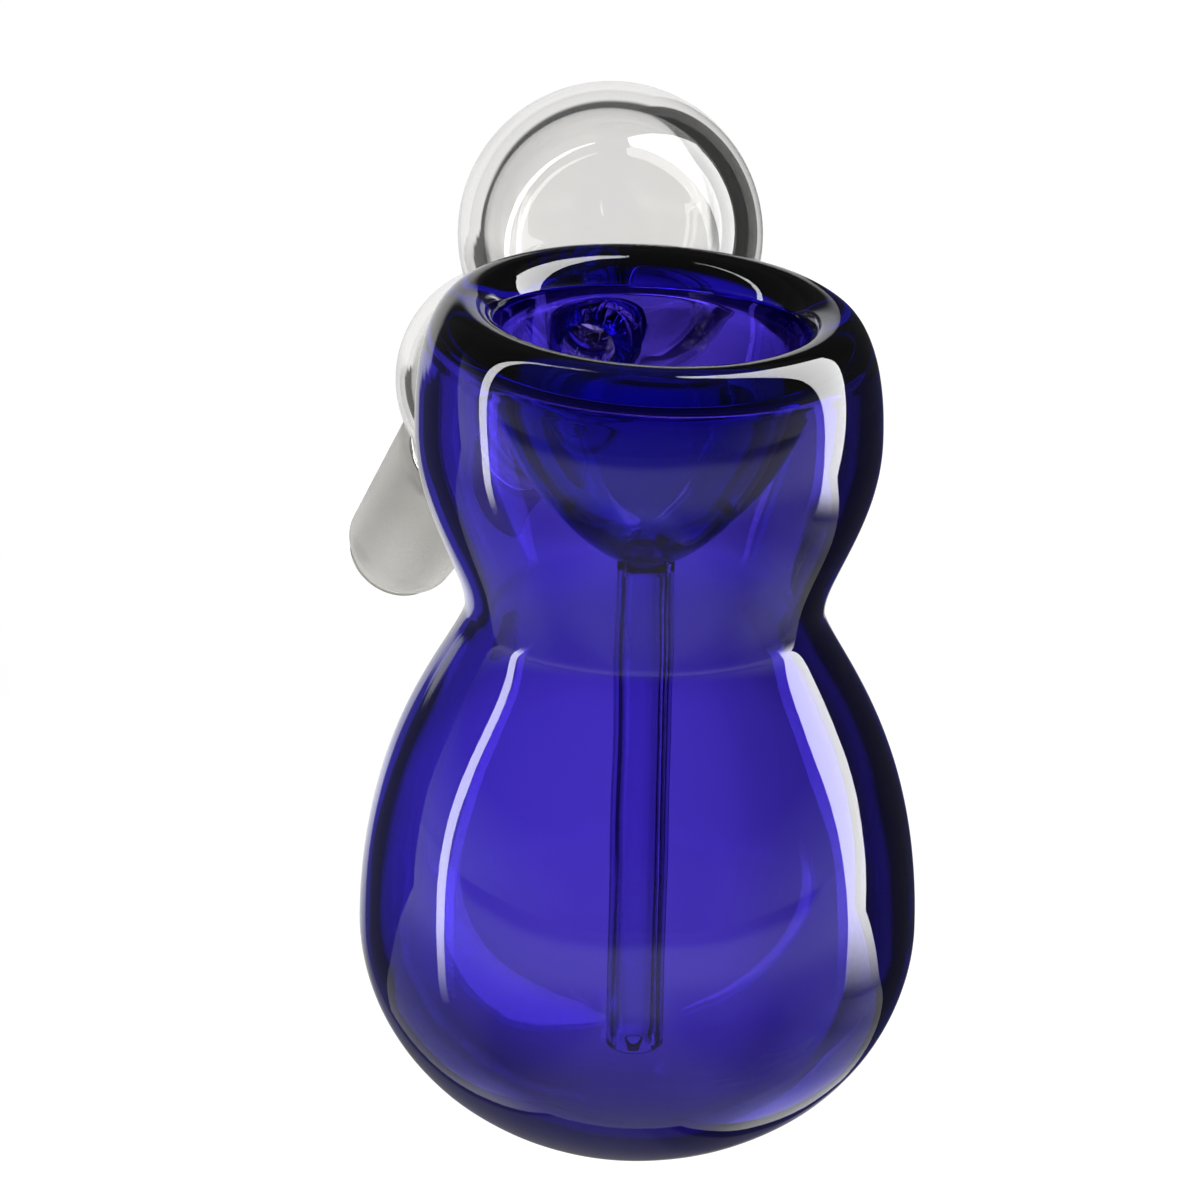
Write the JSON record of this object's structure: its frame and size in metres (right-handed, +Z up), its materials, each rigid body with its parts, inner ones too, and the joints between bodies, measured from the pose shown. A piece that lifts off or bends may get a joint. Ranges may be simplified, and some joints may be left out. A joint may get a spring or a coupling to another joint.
{
  "type": "glass bubbler bowl",
  "caption": "Hourglass blue glass water bubbler with a funnel and downtube in its mouth, and a clear bulbed arm ending in a 45 degree ground joint.",
  "frame": {"origin": "on the axis of the ground joint at its wide end, where the joint seats in its socket", "axes": "+Z up, parallel to the hourglass vessel's axis; +Y horizontally from the vessel towards the joint's side; +X to the right when the vessel is seen from the front"},
  "size_m": [0.0595, 0.1179, 0.0978],
  "materials": {
    "blue_glass": "glossy fire-polished cobalt blue glass",
    "clear_glass": "glossy fire-polished clear borosilicate glass",
    "frosted_glass": "fine ground, matt translucent glass"
  },
  "bodies": {
    "root": {"lower_bulb": "blue_glass", "upper_bulb": "blue_glass", "mouth_lip": "blue_glass", "funnel_bowl": "blue_glass", "downtube": "blue_glass", "port_collar": "blue_glass", "arm_ball": "clear_glass", "arm_neck": "clear_glass", "arm_lobe": "clear_glass", "joint_stem": "clear_glass", "ground_joint": "frosted_glass", "joint_tip": "clear_glass"}
  },
  "joints": []
}
